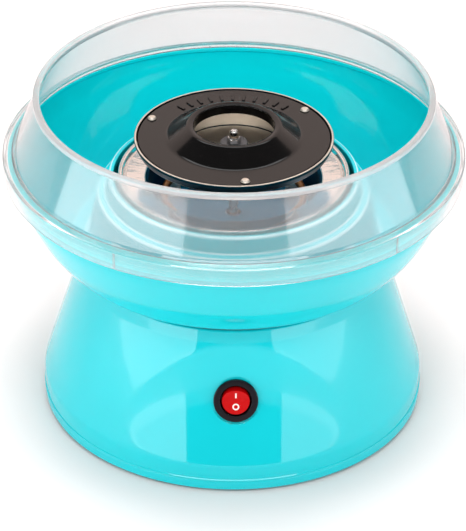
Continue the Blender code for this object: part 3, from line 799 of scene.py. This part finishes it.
def make_cover_ribs(look):
    """Plain ribs round the back of the cover's disc, in the place of its lettering."""
    count, first, apart, ring_r = 11, 48, 8.4, 42.4
    for i in range(count):
        degrees = first + apart * i
        rib = bevelled_box(f"cover_rib_{i + 1}", (5.4, 1.7, 1.0), look["enamel"], 0.35)
        turn = 0, 0, math.radians(degrees)
        keep(placed(rib, *polar(ring_r, degrees), 160.2, turn), "spinner", "black_enamel")


def make_head_fixings(look):
    """The rivets through both shells, and the stack on the shaft: hub, spacer, washer and dome nut."""
    for i in range(1, 4):
        node = f"head_rivet_{i}"
        at, head, tail = middle(node), high(node).z, low(node).z
        outline = [(0, head, 0), (1.9, head - 0.15, 0.8), (2.5, head - 1.1, 0), (1.3, head - 1.1, 0),
                   (1.3, 158.7, 0), (2.5, 158.7, 0.2), (2.5, 156.3, 0.2), (1.3, 156.3, 0),
                   (1.3, 154.7, 0), (2.4, 154.7, 0.3), (1.8, tail, 0.3), (0, tail, 0)]
        rivet = lathe(f"rivet_{i}", rounded(outline), look["head"], SMALL)
        keep(placed(rivet, at.x, at.y), "spinner", "brushed_aluminium", node)

    foot = CUP_FLOOR + 0.3
    outline = [(7.0, 155.3, 0.5), (9.0, foot, 0.4), (2.8, foot, 0), (2.8, 155.3, 0.3)]
    spacer = lathe("hub_spacer", rounded(outline), look["head"], MEDIUM)
    keep(spacer, "spinner", "brushed_aluminium", "head_spacer")

    outline = [(7.4, 156.8, 0.3), (7.4, 155.8, 0.3), (1.8, 155.8, 0), (1.8, 156.8, 0)]
    keep(lathe("washer", rounded(outline), look["iron"], MEDIUM), "spinner", "steel", "clamp_washer")

    crown = [(1.8, 159.3, 0), (2.8, 159.3, 0.2), (2.85, 161.2, 1.5), (2.0, 163.9, 1.8),
             (0, high("cap_nut").z, 0), (0, 161.4, 0), (1.8, 161.4, 0)]
    flats = [(1.8, 157.1), (3.8, 157.1), (3.8, 159.3), (3.3, 159.7), (1.8, 159.7)]
    hexagon = lathe("cap_nut_base", flats, look["chrome"], 6)
    nut = merged(lathe("dome_nut", rounded(crown), look["chrome"], SMALL), hexagon)
    keep(nut, "spinner", "steel", "cap_nut")

    top, bottom = high("drive_hub").z, low("drive_hub").z
    outline = [(7.0, top, 0.4), (7.0, bottom, 0.5), (2.8, bottom, 0.2), (2.8, top, 0.2)]
    keep(lathe("brass_hub", rounded(outline), look["brass"], MEDIUM), "spinner", "brass", "drive_hub")


# ---------------------------------------------------------------- the bowl and the guard

def make_bowl(look):
    """The bowl: its outside, the ring it stands on, its raised two-step middle, the trough and its inside."""
    rim_r, rim_z, foot_z = reach("bowl"), high("bowl").z, low("bowl").z
    floor, ring_top = 97.3, 94.8
    rim = rounded([(117.2, 149.4, 0), (117.2, rim_z, 0.5), (rim_r, rim_z, 0.7),
                   (rim_r - 0.02, rim_z - 0.8, 0)], closed=False)[1:-1]
    outer = spline([(rim_r, rim_z - 0.8), (121.2, 147.5), (117.8, 134.5), (113.3, 124.5), (107.6, 113.4),
                    (101.6, 104.9), (97.2, 99.8), (93.4, 96.8), (89.8, 95.0)], 1.2)
    foot = [(88.4, ring_top), (78.8, ring_top), (78.8, foot_z), (76.2, foot_z), (76.0, 103),
            (70.6, 125.9), (68.2, 126.6)]
    raised = rounded([(67.2, 133.5, 0), (65.3, 133.5, 0.4), (65.3, 137.7, 0.9), (67.9, 137.5, 1.8),
                      (70.2, 128.4, 1.0), (74.0, 127.6, 1.8), (81.0, floor, 4.0), (89.8, floor, 4.0),
                      (96.6, 102.6, 0)], closed=False)[1:-1]
    inner = spline([(92.0, 99.0), (98.8, 105.9), (103.9, 112.4), (109.6, 122.5), (114.6, 134.2),
                    (118.2, 146.5), (118.6, 148.6)], 1.5)
    outline = rim + outer + foot + raised + inner + [(117.2, 149.8)]
    bowl = lathe("bowl_shell", outline, look["cyan"], FINER)
    bowl.data.materials.append(look["inside"])
    bowl.data.materials.append(look["lip"])
    # Painted light on the inner wall and on the outside behind the guard's skirt. The raised ring's edges
    # carry a painted highlight in pale cyan.
    under_skirt = low("splash_guard").z + 1
    for face in bowl.data.polygons:
        out, z = face.center.xy.length / MM, face.center.z / MM
        inner_wall = z > floor + 6 and out > 90 and face.normal.xy.dot(face.center.xy) < 0
        highlight_edge = z > floor - 0.5 and 66 < out < 86 and 0.27 < face.normal.z < 0.95
        face.material_index = 1 if z > under_skirt or inner_wall else 2 if highlight_edge else 0
    keep(bowl, "bowl", "cyan_plastic", "bowl")


def make_guard(look):
    """The clear guard: its bead, its tapering wall, and its skirt with five short ribs."""
    edge, top, skirt = reach("splash_guard"), high("splash_guard").z, low("splash_guard").z
    step_r = edge - 0.35
    outline = [(103.9, top, 1.1), (107.8, top, 1.5), (107.8, 184.3, 0.8), (106.9, 183.9, 0.3),
               (118.8, 155.2, 1.6), (120.0, 153.8, 1.0), (edge, 153.5, 1.3), (edge, 148.3, 0.2),
               (step_r, 148.0, 0.2), (step_r, skirt, 0.5), (123.0, skirt, 0.4), (123.0, 151.8, 0.6),
               (117.4, 151.8, 0.4), (116.8, 153.4, 1.0), (104.6, 183.2, 0.8)]
    guard = lathe("clear_guard", rounded(outline), look["clear"], FINER)
    count, first = 5, -120.5
    ribs = []
    for i in range(count):
        degrees = first + 360 / count * i
        rib = bevelled_box("rib", (0.8, 1.3, 8.6), look["bead"], 0.25)
        ribs.append(placed(rib, *polar(edge - 0.42, degrees), 148.2, (0, 0, math.radians(degrees))))
    merged(guard, *ribs)
    guard.data.materials.clear()
    for key in ("clear", "bead", "skirt"):
        guard.data.materials.append(look[key])
    bead_low, skirt_top = 184.4, 153.9
    for face in guard.data.polygons:
        z = face.center.z / MM
        face.material_index = 1 if z > bead_low else 2 if z < skirt_top else 0
    keep(guard, "guard", "clear_plastic", "splash_guard")


# ---------------------------------------------------------------- the CAD pieces that stay

CAD_LOOKS = {          # each material, and how the names of its nodes start
    "steel": ("motor_shaft", "motor_bracket", "bracket_screw", "board_screw", "pan_screw", "pan_spacer"),
    "iron": ("motor_can", "motor_magnet", "motor_armature"),
    "brass": ("motor_commutator", "switch_terminal"),
    "bronze": ("upper_bearing", "lower_bearing"),
    "dark": ("motor_end_cap", "cooling_fan", "thermal_cutout"),
    "carbon": ("motor_brush",),
    "mica": ("mica_insulator",),
    "board": ("rectifier_board",),
    "sleeve": ("wire_",),
}


def dress_cad(look):
    """Gives the CAD's own pieces their materials."""
    for key, starts in CAD_LOOKS.items():
        for name, obj in frame["nodes"].items():
            if name.startswith(starts):
                obj.data.materials.clear()
                obj.data.materials.append(look[key])


# ---------------------------------------------------------------- the room

def area_light(name, size, radiance, place, target=(0, 0, 0.08), colour=(1, 1, 1)):
    """A flat light of the given radiance, whatever its size. Lengths are in metres."""
    light = bpy.data.lights.new(name, "AREA")
    light.shape = "RECTANGLE"
    light.size, light.size_y = size
    light.energy = radiance * math.pi * size[0] * size[1]
    light.color = colour
    obj = bpy.data.objects.new(name, light)
    obj.location = place
    obj.rotation_euler = (Vector(target) - Vector(place)).to_track_quat("-Z", "Y").to_euler()
    obj.visible_camera = False
    bpy.context.scene.collection.objects.link(obj)
    return obj


def on_circle(degrees_from_front, distance, height):
    """A place round the object, counted from the front towards +X, in metres."""
    turn = math.radians(degrees_from_front)
    return distance * math.sin(turn), -distance * math.cos(turn), height


def make_floor():
    made, shader = principled("floor", (0.85, 0.78, 0.775), 0.6)
    shade_roughness(made, shader, noise(made, 3, 2), 0.55, 0.65)
    half = 3.0
    corners = [(-half, -half, 0), (half, -half, 0), (half, half, 0), (-half, half, 0)]
    mesh = bpy.data.meshes.new("floor")
    mesh.from_pydata(corners, [], [(0, 1, 2, 3)])
    floor = new_object("floor", mesh, made)


def make_lights():
    """A pale room: two low softboxes for the panels on the base, a backdrop, and three lights from above."""
    scene = bpy.context.scene
    world = bpy.data.worlds.new("room")
    world.use_nodes = True
    background = world.node_tree.nodes["Background"]
    background.inputs["Color"].default_value = (1, 1, 1, 1)
    background.inputs["Strength"].default_value = 0.15
    scene.world = world

    away, wide, tall = 0.66, 0.89, 0.34
    for name, degrees, radiance in (("softbox_left", -58, 3.3), ("softbox_right", 58, 2.6)):
        place, target = on_circle(degrees, away, tall / 2), on_circle(degrees, 0, tall / 2)
        area_light(name, (wide, tall), radiance, place, target)
    area_light("backdrop", (3.0, 0.9), 0.92, (0, 1.25, 0.95), (0, 0, 0.12), (1, 0.79, 0.71))
    area_light("top_back", (3.6, 0.8), 3.0, (0, 1.5, 3.1), (0, 0, 0.1))
    area_light("top_front", (3.6, 0.7), 6.8, (0, -2.1, 2.8), (0, 0, 0.1))
    overhead = area_light("overhead", (1.4, 1.4), 12.0, (0, 0.1, 3.2))
    overhead.visible_glossy = False
    scene.view_settings.view_transform = "Standard"
    scene.view_settings.look = "None"


# Fitted to the circles of the guard, bowl, head and base. Angles in degrees, lengths in metres, lens in mm.
CAMERA = {
    "azimuth": -1.2,
    "elevation": 32.16,
    "roll": 0.4,
    "distance": 1.6455,
    "target": (0, 0, 0.0769),
    "lens": 201.3,
    "shift": (-0.0002, 0.0025),
}


def make_camera():
    camera = bpy.data.cameras.new("camera")
    camera.lens = CAMERA["lens"]
    camera.sensor_width = 36
    camera.shift_x, camera.shift_y = CAMERA["shift"]
    camera.clip_start = 0.05
    obj = bpy.data.objects.new("camera", camera)
    azimuth, elevation = math.radians(CAMERA["azimuth"]), math.radians(CAMERA["elevation"])
    target = Vector(CAMERA["target"])
    level = math.cos(elevation)
    back = Vector((math.sin(azimuth) * level, -math.cos(azimuth) * level, math.sin(elevation)))
    obj.location = target + CAMERA["distance"] * back
    aim = (target - obj.location).to_track_quat("-Z", "Y").to_matrix()
    roll = Matrix.Rotation(math.radians(CAMERA["roll"]), 3, "Z")
    obj.rotation_euler = (aim @ roll).to_euler()
    bpy.context.scene.collection.objects.link(obj)
    bpy.context.scene.camera = obj


def main():
    make_camera()
    make_floor()
    make_lights()
    look = make_materials()
    for make in (make_housing, make_shade_ring, make_bottom, make_feet_and_screws, make_gland, make_switch,
                 make_pan, make_heater, make_head_shells, make_cover_ribs, make_head_fixings,
                 make_bowl, make_guard, dress_cad):
        make(look)


main()
